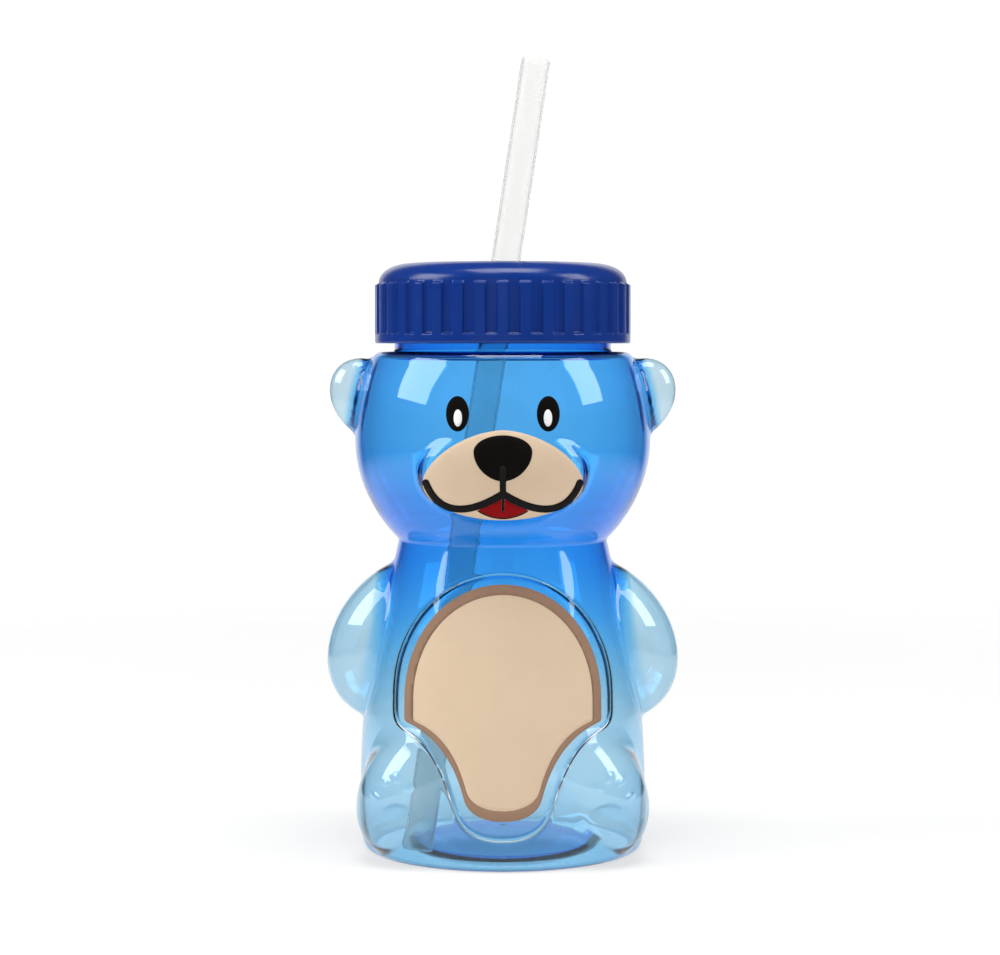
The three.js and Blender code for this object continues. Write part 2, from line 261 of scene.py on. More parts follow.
def lobe_field(x, y, z, lobe):
    x, y, z = x - lobe["centre"][0], y - lobe["centre"][1], z - lobe["centre"][2]
    pitch, roll = math.radians(-lobe["pitch"]), math.radians(lobe["roll"])
    y, z = y * math.cos(pitch) - z * math.sin(pitch), y * math.sin(pitch) + z * math.cos(pitch)
    x, z = x * math.cos(roll) + z * math.sin(roll), -x * math.sin(roll) + z * math.cos(roll)
    rx, ry, rz = lobe["radii"]
    near = np.sqrt((x / rx) ** 2 + (y / ry) ** 2 + (z / rz) ** 2) + TINY
    slope = np.sqrt((x / rx ** 2) ** 2 + (y / ry ** 2) ** 2 + (z / rz ** 2) ** 2) + TINY
    return near * (near - 1) / slope


def shell_field(p):
    x, y, z = p[..., 0], p[..., 1], p[..., 2]
    field = body_field(p)
    for lobe in PAIRED_LOBES:
        field = smooth_min(field, lobe_field(np.abs(x), y, z, lobe), lobe["blend"])
    return smooth_min(field, lobe_field(x, y, z, MUZZLE), MUZZLE["blend"])


def settled(p):
    """Points moved one step straight towards the shell."""
    field = shell_field(p)
    slope = np.stack([(shell_field(p + s) - field) / SLOPE_REACH for s in np.eye(3) * SLOPE_REACH], axis=-1)
    return p - slope * (field / np.maximum((slope ** 2).sum(-1), LEAST_SLOPE))[..., None]


FRONT_FROM, FRONT_TO, FRONT_STEPS = -52, -8, 45
FRONT_HALVINGS = 24


def front_depth(x, z, level):
    """Y of the shell's front, or of a level above it, at places in the front view."""
    starts = np.linspace(FRONT_FROM, FRONT_TO, FRONT_STEPS)
    inside = np.stack([shell_field(np.stack([x, np.full(len(x), y), z], -1)) < level for y in starts])
    first = np.argmax(inside, axis=0)
    low, high = starts[np.maximum(first - 1, 0)], starts[first]
    for _ in range(FRONT_HALVINGS):
        middle = (low + high) / 2
        is_in = shell_field(np.stack([x, middle, z], -1)) < level
        high = np.where(is_in, middle, high)
        low = np.where(is_in, low, middle)
    return (low + high) / 2


# Outlines in the front view

def ellipse_arc(centre, width, height, start, end, steps):
    """Points along an ellipse of these half sizes between two angles, without the last one."""
    angle = np.linspace(start, end, steps, endpoint=False)
    return np.stack([centre[0] + width * np.cos(angle), centre[1] + height * np.sin(angle)], axis=1)


def belly_outline(form):
    """An arch over straight sides, whose lower corners sweep in to a stem with a rounded foot."""
    half, corner, bottom = form["half"], form["corner"], form["bottom"]
    stem, stem_top = form["stem"]
    drop = corner - stem_top
    upper = (half * SWEEP_CORNER[0], corner - drop * SWEEP_CORNER[1])
    lower = (stem * SWEEP_STEM[0], corner - drop * SWEEP_STEM[1])
    side = (stem * FOOT_SIDE, bottom + FOOT_HEIGHT)
    arch = ellipse_arc((0, form["spring"]), half, form["top"] - form["spring"], 0, math.pi, 120)
    left = [
        bezier([(-half, form["spring"]), (-half, corner)], 10),
        bezier([(-half, corner), (-upper[0], upper[1]), (-lower[0], lower[1]), (-stem, stem_top)], 60),
        bezier([(-stem, stem_top), (-side[0], side[1]), (-stem * FOOT_MIDDLE, bottom), (0, bottom)], 40),
    ]
    right = np.vstack(left)[:0:-1] * (-1, 1)
    return np.vstack([arch] + left + [[[0, bottom]], right])


def outline_offset(points, outline):
    """Signed distance of points from a closed outline, negative inside, and the way straight out."""
    best = np.full(len(points), np.inf)
    nearest = np.zeros_like(points)
    crossings = np.zeros(len(points), int)
    for a, b in zip(outline, np.roll(outline, -1, axis=0)):
        edge = b - a
        t = np.clip(((points - a) @ edge) / (edge @ edge), 0, 1)
        foot = a + t[:, None] * edge
        distance = np.hypot(*(points - foot).T)
        closer = distance < best
        best[closer] = distance[closer]
        nearest[closer] = foot[closer]
        spans = (a[1] > points[:, 1]) != (b[1] > points[:, 1])
        if a[1] != b[1]:
            crossing = a[0] + (points[:, 1] - a[1]) * edge[0] / edge[1]
            crossings += spans & (points[:, 0] < crossing)
    inside = crossings % 2 == 1
    away = (points - nearest) / np.maximum(best, TINY)[:, None]
    signed = np.where(inside, -best, best)
    return signed, np.where(inside[:, None], -away, away)


PAD_OUTLINE = rounded_closed(belly_outline(PAD), PAD_ROUNDING)


# Meshes

def add_to_scene(name, data):
    made = bpy.data.objects.new(name, data)
    bpy.context.scene.collection.objects.link(made)
    return made


def make_object(name, vertices, faces, smooth=True):
    mesh = bpy.data.meshes.new(name)
    mesh.from_pydata((np.asarray(vertices, float) * MM).tolist(), [], faces)
    mesh.validate()
    mesh.update()
    if smooth:
        mesh.shade_smooth()
    return add_to_scene(name, mesh)


def grid_faces(rows, columns):
    """Quads of a grid that closes on itself across its columns."""
    i, j = np.meshgrid(np.arange(rows - 1), np.arange(columns), indexing="ij")
    k = (j + 1) % columns
    corners = [i * columns + j, i * columns + k, (i + 1) * columns + k, (i + 1) * columns + j]
    return np.stack(corners, -1).reshape(-1, 4).tolist()


def grid_normals(grid):
    along = np.gradient(grid, axis=0)
    across = np.roll(grid, -1, axis=1) - np.roll(grid, 1, axis=1)
    normals = np.cross(across, along)
    return normals / np.maximum(np.linalg.norm(normals, axis=-1), TINY)[..., None]


def even_angles(columns):
    return np.linspace(0, 2 * math.pi, columns, endpoint=False)


def turned(path, angles):
    """A (radius, height) path turned to a grid of points at angles from the front."""
    r, z = path[:, 0][:, None], path[:, 1][:, None]
    flat = np.ones_like(angles)[None, :]
    return np.stack([r * np.sin(angles), -r * np.cos(angles), z * flat], axis=-1)


# Bottle: a grid over the turned outline, moved out to the lobes and evened along the shell

COLUMNS = 320
FRONT_CROWDING = 0.55
ROW_SPACING_BY_HEIGHT = [(0, 0.9), (2, 0.5), (5, 0.5), (8, 0.36), (80, 0.36), (90, 0.6), (136, 0.6),
                         (137, 0.42), (156, 0.42)]
LOBE_REACH_BY_HEIGHT = [(0.8, 0), (2, 10), (30, 14), (36, 16), (78, 16), (82, 6), (84.7, 2.5), (88, 3),
                        (92, 8), (96, 12), (133, 12), (135, 5)]
WALL_FOOT, WALL_HEAD, WALL_LEAST_RADIUS = 0.8, SHOULDER_TOP - 0.6, 27
REACH_STEPS = 40
REACH_HALVINGS = 14
RELAX_ROUNDS = 24
RELAX_SHARE = 0.5
PAD_MARGIN = 4
FAR_OFF = 99.0
NEAR_LINE = 5
NECK_FOOT, NECK_WIDEST = SHOULDER_TOP + 1, NECK_OUTER + 0.3
RIM_STEPS = 5


def column_angles():
    even = np.arange(COLUMNS) * 2 * math.pi / COLUMNS
    return even - FRONT_CROWDING * np.sin(even)


def on_wall(path):
    """Where the outline is the body's wall, and not its base, shoulder or neck."""
    return (path[:, 1] > WALL_FOOT) & (path[:, 1] < WALL_HEAD) & (path[:, 0] > WALL_LEAST_RADIUS)


def outer_wall(path, angles):
    """The shell's outside: each point of the turned outline goes straight out to the lobes."""
    grid = turned(path, angles)
    tangent = np.gradient(path, axis=0)
    out = np.stack([tangent[:, 1], -tangent[:, 0]], axis=1)
    out /= np.linalg.norm(out, axis=1)[:, None]
    outward = turned(out, angles)
    rows = np.nonzero(on_wall(path))[0]
    start, way = grid[rows], outward[rows]
    reach = by_height(LOBE_REACH_BY_HEIGHT, path[rows, 1])[:, None]
    shares = np.linspace(0, 1, REACH_STEPS + 1)
    last = np.zeros(start.shape[:2], int)
    for k, share in enumerate(shares):
        inside = shell_field(start + way * (reach * share)[..., None]) < 0
        last = np.where(inside, k, last)
    low, high = shares[last] * reach, shares[np.minimum(last + 1, REACH_STEPS)] * reach
    for _ in range(REACH_HALVINGS):
        middle = (low + high) / 2
        inside = shell_field(start + way * middle[..., None]) < 0
        low, high = np.where(inside, middle, low), np.where(inside, high, middle)
    grid[rows] = start + way * high[..., None]
    return grid, rows


def relaxed(grid, rows):
    """Evens out the grid along the shell, so that steep creases get enough points."""
    inner = rows[2:-2]
    for _ in range(RELAX_ROUNDS):
        before, after = np.roll(grid, 1, 1)[inner], np.roll(grid, -1, 1)[inner]
        around = (grid[inner - 1] + grid[inner + 1] + before + after) / 4
        normals = grid_normals(grid)[inner]
        shift = around - grid[inner]
        shift -= normals * (shift * normals).sum(-1)[..., None]
        grid[inner] = settled(grid[inner] + RELAX_SHARE * shift)
    return grid


def pad_offset(grid, normals):
    """Each point's offset from the pad's outline in the front view, the way out, and the shell's lean."""
    x, y, z = grid[..., 0], grid[..., 1], grid[..., 2]
    near = (y < 0) & (np.abs(x) < PAD["half"] + PAD_MARGIN)
    near &= (z > PAD["bottom"] - PAD_MARGIN) & (z < PAD["top"] + PAD_MARGIN)
    offset, away, lean = np.full(x.shape, FAR_OFF), np.zeros(x.shape + (2,)), np.zeros(x.shape)
    offset[near], away[near] = outline_offset(grid[near][:, [0, 2]], PAD_OUTLINE)
    lean[near] = np.maximum((normals[near][:, [0, 2]] * away[near]).sum(axis=1), 0)
    return offset, away, lean


def nearest_to_line(distance):
    """Marks, for every grid edge that crosses a line, the end that lies nearer to it."""
    marked = np.zeros(distance.shape, bool)
    for axis in (0, 1):
        after = np.roll(distance, -1, axis)
        crosses = (distance * after < 0) & (np.abs(distance) < NEAR_LINE) & (np.abs(after) < NEAR_LINE)
        first = np.abs(distance) <= np.abs(after)
        marked |= (crosses & first) | np.roll(crosses & ~first, 1, axis)
    return marked


def with_pad_edge(grid):
    """The grid with points moved along the shell to the foot and top of the pad's edge, both marked."""
    offset, away, lean = pad_offset(grid, grid_normals(grid))
    lines = [offset - PAD_EDGE, offset + PAD_EDGE + PAD_HEIGHT * lean]
    marks = [nearest_to_line(line) for line in lines]
    foot_is_nearer = np.abs(lines[0]) <= np.abs(lines[1])
    marks = [marks[0] & (foot_is_nearer | ~marks[1]), marks[1] & (~foot_is_nearer | ~marks[0])]
    moved = grid.copy()
    for line, mark in zip(lines, marks):
        flat = grid[mark][:, [0, 2]] - line[mark][:, None] * away[mark]
        moved[mark] = np.stack([flat[:, 0], front_depth(flat[:, 0], flat[:, 1], 0.0), flat[:, 1]], 1)
    return moved, marks


def belly_lift(grid, normals, edge, soft):
    """How far the belly pad stands out: a plateau whose edge has this half width, straight or soft."""
    offset, _, lean = pad_offset(grid, normals)
    share = np.clip((edge - offset) / (2 * edge + PAD_HEIGHT * lean), 0, 1)
    return PAD_HEIGHT * (smoothstep(0, 1, share) if soft else share)


def paw_marks(x, z):
    """Share of the paw marks' height at places in the front view."""
    x = np.abs(x)
    share = np.zeros_like(x)
    for (cx, cz), (rx, rz), lean in TOES:
        c, s = math.cos(math.radians(lean)), math.sin(math.radians(lean))
        across, along = (x - cx) * c - (z - cz) * s, (x - cx) * s + (z - cz) * c
        share = np.maximum(share, 1 - smoothstep(*TOE_EDGE, np.hypot(across / rx, along / rz)))
    (cx, cz), (rx, rz) = HEEL["centre"], HEEL["radii"]
    heel = 1 - smoothstep(*HEEL["edge"], np.hypot((x - cx) / rx, (z - cz) / rz))
    return np.maximum(share, heel * smoothstep(*HEEL["run_out"], (z - cz) / rz))


def paws_lift(grid, normals):
    """How far the paw marks stand out of the soles."""
    x, y, z = grid[..., 0], grid[..., 1], grid[..., 2]
    front = (y < SOLE["back"]) & (z < SOLE["top"]) & (z > SOLE["bottom"])
    lift = np.where(front, PAW_HEIGHT * paw_marks(x, z), 0)
    return lift * smoothstep(*SOLE["facing"], -normals[..., 1])


def thread_lift(angles, heights, start):
    """How far a screw thread stands out of a cylinder: a right-handed ridge that fades at its ends."""
    turns, half, fade = THREAD["turns"], THREAD["half"], THREAD["fade"]
    turn = np.mod(angles[None, :] - THREAD_FROM, 2 * math.pi) / (2 * math.pi)
    share = np.zeros(np.broadcast(turn, heights).shape)
    for lap in range(-1, int(turns) + 2):
        along = turn + lap
        ridge = 1 - smoothstep(THREAD["crest"] * half, half, np.abs(heights - start - PITCH * along))
        ends = smoothstep(0, fade, along) * (1 - smoothstep(turns - fade, turns, along))
        share = np.maximum(share, ridge * ends)
    return THREAD["height"] * share


def wall_thickness(grid, path):
    """Blown plastic is thinnest where it was stretched most, in the lobes, and thick at waist and neck."""
    radius, height = path[:, 0], path[:, 1]
    plain = by_height(WALL_BY_HEIGHT, height)
    in_push_up = smoothstep(*PUSH_UP_BETWEEN, radius) * (height < PUSH_UP_BELOW)
    plain = plain * (1 - in_push_up) + PUSH_UP_WALL * in_push_up
    to_neck = smoothstep(*NECK_BETWEEN, radius) * (height > NECK_ABOVE)
    plain = (plain * (1 - to_neck) + NECK_WALL * to_neck)[:, None] * np.ones(grid.shape[1])
    x, z = grid[..., 0], grid[..., 2]
    ears = smoothstep(*EARS_BETWEEN, z)
    stretched = smoothstep(THINNED_FROM, THINNED_TO - ears, body_field(grid)) * on_wall(path)[:, None]
    thin = by_height(LOBE_WALL_BY_HEIGHT, z)
    in_muzzle = smoothstep(*MUZZLE_WIDTHS, np.abs(x)) * smoothstep(*MUZZLE_HEIGHTS, z)
    thin = thin * (1 - in_muzzle) + MUZZLE_WALL * in_muzzle
    return plain * (1 - stretched) + thin * stretched


def rim_rings(angles):
    """The neck's rounded rim, from outside to inside."""
    arc = np.linspace(0, math.pi / 2, RIM_STEPS)[1:]
    outer_edge = np.stack([NECK_OUTER - RIM_ROUND + RIM_ROUND * np.cos(arc),
                           RIM - RIM_ROUND + RIM_ROUND * np.sin(arc)], 1)
    inner_edge = outer_edge[::-1] * (-1, 1) + (NECK_OUTER + NECK_INNER, 0)
    return turned(np.vstack([outer_edge, inner_edge]), angles)


def split_along(quads, on_lines):
    """Cuts in two each quad that a line crosses from corner to corner, along that line."""
    faces = np.array(quads)
    pieces = []
    for on_line in on_lines:
        corners = on_line[faces]
        for k in (0, 1):
            cut = corners[:, k] & corners[:, k + 2] & (corners.sum(axis=1) == 2)
            turned_faces = np.roll(faces[cut], -k, axis=1)
            pieces += turned_faces[:, [0, 1, 2]].tolist() + turned_faces[:, [0, 2, 3]].tolist()
            faces, corners = faces[~cut], corners[~cut]
    return faces.tolist() + pieces


def mark_sharp(mesh, on_lines):
    """Keeps the shading apart on both sides of the lines."""
    ends = np.zeros(2 * len(mesh.edges), np.int32)
    mesh.edges.foreach_get("vertices", ends)
    ends = ends.reshape(-1, 2)
    sharp = np.zeros(len(ends), bool)
    for on_line in on_lines:
        sharp |= on_line[ends].all(axis=1)
    flags = mesh.attributes.new("sharp_edge", "BOOLEAN", "EDGE")
    flags.data.foreach_set("value", sharp)


def make_bottle():
    angles = column_angles()
    path = spaced(SHELL_PATH, lambda middles: by_height(ROW_SPACING_BY_HEIGHT, middles[:, 1]))
    plain, edge_lines = with_pad_edge(relaxed(*outer_wall(path, angles)))
    outward = grid_normals(plain)
    paws = paws_lift(plain, outward)
    outer = plain + outward * (belly_lift(plain, outward, PAD_EDGE, False) + paws)[..., None]
    inside_lift = belly_lift(plain, outward, PAD_EDGE_INSIDE, True) + PAW_INSIDE * paws
    inner = (plain + outward * (inside_lift - wall_thickness(plain, path))[..., None])[::-1]
    neck = (path[:, 1] > NECK_FOOT) & (path[:, 0] < NECK_WIDEST)
    thread = thread_lift(angles, path[neck, 1][:, None], THREAD["start"])
    outer[neck] += turned(np.array([[1, 0]]), angles) * thread[..., None]
    rings = np.concatenate([outer[1:], rim_rings(angles), inner[:-1]])
    count = len(rings)
    poles = [[0, 0, PUSH_UP[0][1]], inner[-1].mean(axis=0) * (0, 0, 1)]
    vertices = np.vstack([rings.reshape(-1, 3), poles])
    on_lines = [np.zeros(len(vertices), bool) for _ in edge_lines]
    for on_line, mark in zip(on_lines, edge_lines):
        on_line[:mark[1:].size] = mark[1:].ravel()
    faces = split_along(grid_faces(count, COLUMNS), on_lines)
    bottom, top, end = count * COLUMNS, count * COLUMNS + 1, (count - 1) * COLUMNS
    after = [(j + 1) % COLUMNS for j in range(COLUMNS)]
    faces += [[bottom, k, j] for j, k in enumerate(after)]
    faces += [[top, end + j, end + k] for j, k in enumerate(after)]
    made = make_object("bear_shell", vertices, faces)
    mark_sharp(made.data, on_lines)
    return made


bottle = make_bottle()


# Prints: thin ink films that follow the shell, one for each colour

FILM_BASE = 0.02
FILM_THICKNESS = 0.05
FILM_LAYER = 0.08
FILM_GRAIN = 1.1
GRAIN_CLEARANCE = 0.4
SAME_POINT = 1e-5
STROKE_STEPS = 48
STROKE_END_STEPS = 14
BAR_POINTS = 12


def inside_any(points, outlines):
    found = np.zeros(len(points), bool)
    for outline in outlines:
        found |= outline_offset(points, outline)[0] < 0
    return found


def film_triangles(added, cut):
    """Flat triangles of the joined outlines, without what is cut away."""
    outlines = list(added) + list(cut)
    points, edges = [], []
    for outline in outlines:
        first = len(points)
        points += outline.tolist()
        edges += [(first + i, first + (i + 1) % len(outline)) for i in range(len(outline))]
    spread = np.vstack(added)
    low, high = spread.min(axis=0), spread.max(axis=0)
    across, up = (np.arange(low[k], high[k], FILM_GRAIN) for k in (0, 1))
    lattice = np.stack(np.meshgrid(across, up), -1).reshape(-1, 2)
    clear = np.ones(len(lattice), bool)
    for outline in outlines:
        clear &= np.abs(outline_offset(lattice, outline)[0]) > GRAIN_CLEARANCE * FILM_GRAIN
    points += lattice[clear & inside_any(lattice, added) & ~inside_any(lattice, cut)].tolist()
    made = delaunay_2d_cdt([Vector(p) for p in points], edges, [], 0, SAME_POINT)
    flat = np.array([(v.x, v.y) for v in made[0]])
    triangles = np.array([f for f in made[2] if len(f) == 3])
    centres = flat[triangles].mean(axis=1)
    triangles = triangles[inside_any(centres, added) & ~inside_any(centres, cut)]
    used, triangles = np.unique(triangles, return_inverse=True)
    return flat[used], triangles.reshape(-1, 3)


def make_film(name, added, level=0.0, layer=0, cut=()):
    """A closed film over the outlines, on a level of the shell and the layers of ink below it."""
    flat, triangles = film_triangles(added, cut)
    a, b, c = (flat[triangles[:, k]] for k in range(3))
    turn = (b[:, 0] - a[:, 0]) * (c[:, 1] - a[:, 1]) - (b[:, 1] - a[:, 1]) * (c[:, 0] - a[:, 0])
    triangles = np.where((turn > 0)[:, None], triangles, triangles[:, ::-1])
    base = level + FILM_BASE + layer * FILM_LAYER
    sides = [front_depth(flat[:, 0], flat[:, 1], height) for height in (base + FILM_THICKNESS, base)]
    vertices = np.vstack([np.stack([flat[:, 0], depth, flat[:, 1]], 1) for depth in sides])
    count = len(flat)
    faces = triangles.tolist() + (triangles[:, ::-1] + count).tolist()
    pairs = np.vstack([triangles[:, [0, 1]], triangles[:, [1, 2]], triangles[:, [2, 0]]])
    known = {tuple(p) for p in pairs.tolist()}
    faces += [[q, p, p + count, q + count] for p, q in known if (q, p) not in known]
    return make_object(name, vertices, faces)


def oval(form, side):
    (x, z), (rx, rz) = form["place"], form["radii"]
    return ellipse_arc((side * x, z), rx, rz, 0, 2 * math.pi, 72)


def patch_outline():
    """An oval whose upper half is drawn in towards its ends."""
    half, middle = PATCH["half"], PATCH["middle"]
    angle = np.linspace(0, math.pi, 90, endpoint=False)
    x, z = np.cos(angle), np.sin(angle)
    power = 2 / PATCH["fullness"]
    over = np.stack([half * np.sign(x) * np.abs(x) ** power, middle + PATCH["up"] * z ** power], 1)
    under = ellipse_arc((0, middle), half, PATCH["down"], math.pi, 2 * math.pi, 90)
    return np.vstack([over, under])


def nose_outline():
    half, middle = NOSE["half"], NOSE["middle"]
    bottom, pull = middle - NOSE["down"], middle - NOSE["down"] / 2
    over = ellipse_arc((0, middle), half, NOSE["up"], 0, math.pi, 60)
    left = bezier([(-half, middle), (-half, pull), (-half / 2, bottom), (0, bottom)], 30)
    right = bezier([(0, bottom), (half / 2, bottom), (half, pull), (half, middle)], 30)
    return np.vstack([over, left, right])


def stroke_outline(points, width):
    """A line of even width along a curve, with round ends."""
    line = np.vstack([bezier(points, STROKE_STEPS), [points[-1]]])
    along = np.gradient(line, axis=0)
    along /= np.linalg.norm(along, axis=1)[:, None]
    aside = np.stack([-along[:, 1], along[:, 0]], 1) * width / 2
    ends = []
    for tip, way in ((line[-1], along[-1]), (line[0], -along[0])):
        start = math.atan2(way[1], way[0]) + math.pi / 2
        ends.append(ellipse_arc(tip, width / 2, width / 2, start, start - math.pi, STROKE_END_STEPS)[1:])
    return np.vstack([line + aside, ends[0], (line - aside)[::-1], ends[1]])


def bar_outline(width, bottom, top):
    """An upright bar, with enough points up its sides to follow the muzzle's curve."""
    heights = np.linspace(bottom, top, BAR_POINTS)
    right = np.stack([np.full(BAR_POINTS, width / 2), heights], 1)
    return np.vstack([right, right[::-1] * (-1, 1)])


def tongue_edge(half):
    """The tongue's lower edge, out to this half width."""
    corner = TONGUE["corner"]
    return [(-half, corner), (0, 2 * TONGUE["bottom"] - corner), (half, corner)]


def tongue_outline():
    half, corner, top = TONGUE["half"], TONGUE["corner"], TONGUE["top"]
    tuck = TONGUE["tuck"]
    right = bezier([(half, corner), tuck, (0, top)], 24)
    left = bezier([(0, top), (-tuck[0], tuck[1]), (-half, corner)], 24)
    return np.vstack([bezier(tongue_edge(half), 40), right, left])


def mouth_outlines(grown=0):
    """The mouth's black lines, with the tongue's crease and lip, made wider by as much as grown."""
    middle = MOUTH[0][1]
    halves = [stroke_outline([(side * x, z) for x, z in MOUTH], MOUTH_LINE + grown) for side in (1, -1)]
    philtrum_line = bar_outline(PHILTRUM_LINE + grown, middle, NOSE["middle"] - NOSE["down"] - NOSE_GAP)
    crease = bar_outline(TONGUE_CREASE + grown, TONGUE["corner"] - grown / 2, middle)
    lip = stroke_outline(tongue_edge(TONGUE["half"] - LIP_INSET), TONGUE_LIP + grown)
    return halves + [philtrum_line, crease, lip]


def philtrum_on_nose():
    """The end of the line from the mouth, printed over the nose."""
    bottom = NOSE["middle"] - NOSE["down"]
    return stroke_outline([(0, bottom), (0, PHILTRUM_TOP - PHILTRUM_LINE / 2)], PHILTRUM_LINE)


fill_outline = rounded_closed(belly_outline(FILL), BELLY_PRINT_ROUNDING)
border_outline = rounded_closed(belly_outline(BORDER), BELLY_PRINT_ROUNDING)
prints = {
    "belly_print_border": make_film("belly_ink_border", [border_outline], PAD_HEIGHT, cut=[fill_outline]),
    "belly_print_fill": make_film("belly_ink_fill", [fill_outline], PAD_HEIGHT),
    "muzzle_print": make_film("muzzle_ink", [patch_outline()]),
    "nose_print": make_film("nose_ink", [nose_outline()], layer=1),
    "mouth_print": make_film("mouth_ink", mouth_outlines(), layer=1),
    "tongue_print": make_film("tongue_ink", [tongue_outline()], layer=1, cut=mouth_outlines(INK_GAP)),
}
philtrum = make_film("philtrum_ink", [philtrum_on_nose()], layer=2)
for side_name, side in (("left", 1), ("right", -1)):
    prints["eye_print_" + side_name] = make_film("eye_ink_" + side_name, [oval(EYE, side)])
    prints["eye_highlight_" + side_name] = make_film("eye_glint_" + side_name, [oval(GLINT, side)], layer=1)


# Cap

RIB_CREST_COLUMN = 0.6
RIB_EDGE_COLUMNS = (-0.45, -0.2, 0, 0.2, 0.45, 0.85)
CAP_ROWS = {"fine": 0.2, "plain": 0.55, "top": 1.2}
RIB_ENDS_REACH = (1, 1.2)
CAP_THREAD_BELOW = CAP["top"] - CAP["plate"] - 1.5
ON_BORE = 0.25
OFF_BORE = {"rows": 0.8, "ribs": 1.2, "top": -2}


def ring_object(name, grid):
    """A grid that closes on itself both ways, as a ring does."""
    rows, columns = grid.shape[:2]
    faces = np.array(grid_faces(rows + 1, columns)) % (rows * columns)
    return make_object(name, grid.reshape(-1, 3), faces.tolist())


def rib_angles():
    """Columns that crowd at the edges of ribs, and each one's angle from its rib's middle."""
    period = 2 * math.pi / RIBS["count"]
    offsets = [RIB_CREST_COLUMN] + [RIBS["width"] / 2 + o for o in RIB_EDGE_COLUMNS]
    offsets = [-o for o in offsets[::-1]] + [0] + offsets
    local = np.array([-period / 2] + [o / CAP["rib"] for o in offsets])
    return (np.arange(RIBS["count"])[:, None] * period + local).ravel(), np.tile(local, RIBS["count"])


def cap_path():
    """The cap's section, from its bottom edge up the outside, over the top and down the inside."""
    bottom, top, groove, bore = CAP["bottom"], CAP["top"], CAP["groove"], CAP["bore"]
    flat, rib_top = groove - CAP_SHOULDER["width"], top - CAP_SHOULDER["height"]
    under, hole = top - CAP["plate"], STRAW_HOLE / 2
    flare, mouth_top = bore + CAP_MOUTH_FLARE, bottom + CAP_MOUTH_HEIGHT
    in_corner, under_corner = bore - CAP_INNER_CORNER, under - CAP_INNER_CORNER
    over_shoulder = [(groove, rib_top + CAP_SHOULDER["rise"]), (flat + CAP_SHOULDER["run"], top)]
    points = [
        bezier([(flare, bottom), (groove, bottom)], 8),
        bezier([(groove, bottom), (groove, rib_top)], 60),
        bezier([(groove, rib_top), *over_shoulder, (flat, top)], 40),
        bezier([(flat, top), (hole + HOLE_BEVEL, top)], 20),
        bezier([(hole + HOLE_BEVEL, top), (hole, top - HOLE_BEVEL)], 6),
        bezier([(hole, top - HOLE_BEVEL), (hole, under)], 6),
        bezier([(hole, under), (in_corner, under)], 30),
        bezier([(in_corner, under), (bore, under), (bore, under_corner)], 8),
        bezier([(bore, under_corner), (bore, mouth_top)], 60),
        bezier([(bore, mouth_top), (flare, bottom)], 6),
    ]
    return softened(np.vstack(points + [points[0][:1]]), CAP_ROUNDING)


def cap_row_spacing(p):
    """Rows crowd where the ribs end, and spread under the top and over it."""
    lower_edge = np.abs(p[:, 1] - CAP["bottom"] - CAP["band"]) < RIB_ENDS_REACH[0]
    upper_edge = np.abs(p[:, 1] - CAP["top"] + CAP_SHOULDER["height"]) < RIB_ENDS_REACH[1]
    fine = (p[:, 0] > CAP["bore"] + OFF_BORE["rows"]) & (lower_edge | upper_edge)
    plain = np.where(p[:, 0] < CAP["bore"] + OFF_BORE["top"], CAP_ROWS["top"], CAP_ROWS["plain"])
    return np.where(fine, CAP_ROWS["fine"], plain)


def make_cap():
    angles, local = rib_angles()
    path = spaced(cap_path(), cap_row_spacing)[:-1]
    r, z = path[:, 0][:, None], path[:, 1][:, None]
    edge = RIBS["width"] / 2
    rib = smoothstep(edge + RIBS["flank"], edge - RIBS["flank"], np.abs(local)[None, :] * CAP["rib"])
    band_top = CAP["bottom"] + CAP["band"]
    rib_top = band_top + RIBS["height"]
    band = smoothstep(*(band_top + o for o in BAND_EDGE), z)
    below_end = smoothstep(*(rib_top + o for o in RIBS["end"]), z)
    outside = r > CAP["bore"] + OFF_BORE["ribs"]
    stand = (CAP["rib"] - CAP["groove"]) * np.maximum(band, rib * below_end) * outside
    inside = (np.abs(r - CAP["bore"]) < ON_BORE) & (z < CAP_THREAD_BELOW)
    radius = r + stand - thread_lift(angles, z, THREAD["start"] + PITCH / 2) * inside
    grid = np.stack([radius * np.sin(angles), -radius * np.cos(angles), z * np.ones_like(radius)], -1)
    return ring_object("ribbed_cap", grid)


# Seal and straw

SEAL_CORNER_STEPS, SEAL_CORNER_ARC, SEAL_COLUMNS = 5, math.pi / 2 + 0.01, 144
STRAW_RINGS, STRAW_LIP_STEPS, STRAW_COLUMNS = 90, 7, 64


def make_seal():
    inner, outer, low, high, edge = (SEAL[k] for k in ("inner", "outer", "bottom", "top", "round"))
    corners = [(outer, low), (outer, high), (inner, high), (inner, low)]
    middle = np.array([(outer + inner) / 2, (low + high) / 2])
    path = []
    for k, corner in enumerate(corners):
        centre = np.array(corner) + edge * np.sign(middle - corner)
        start = (k - 1) * math.pi / 2
        path.append(ellipse_arc(centre, edge, edge, start, start + SEAL_CORNER_ARC, SEAL_CORNER_STEPS))
    return ring_object("soft_rim_seal", turned(np.vstack(path), even_angles(SEAL_COLUMNS)))


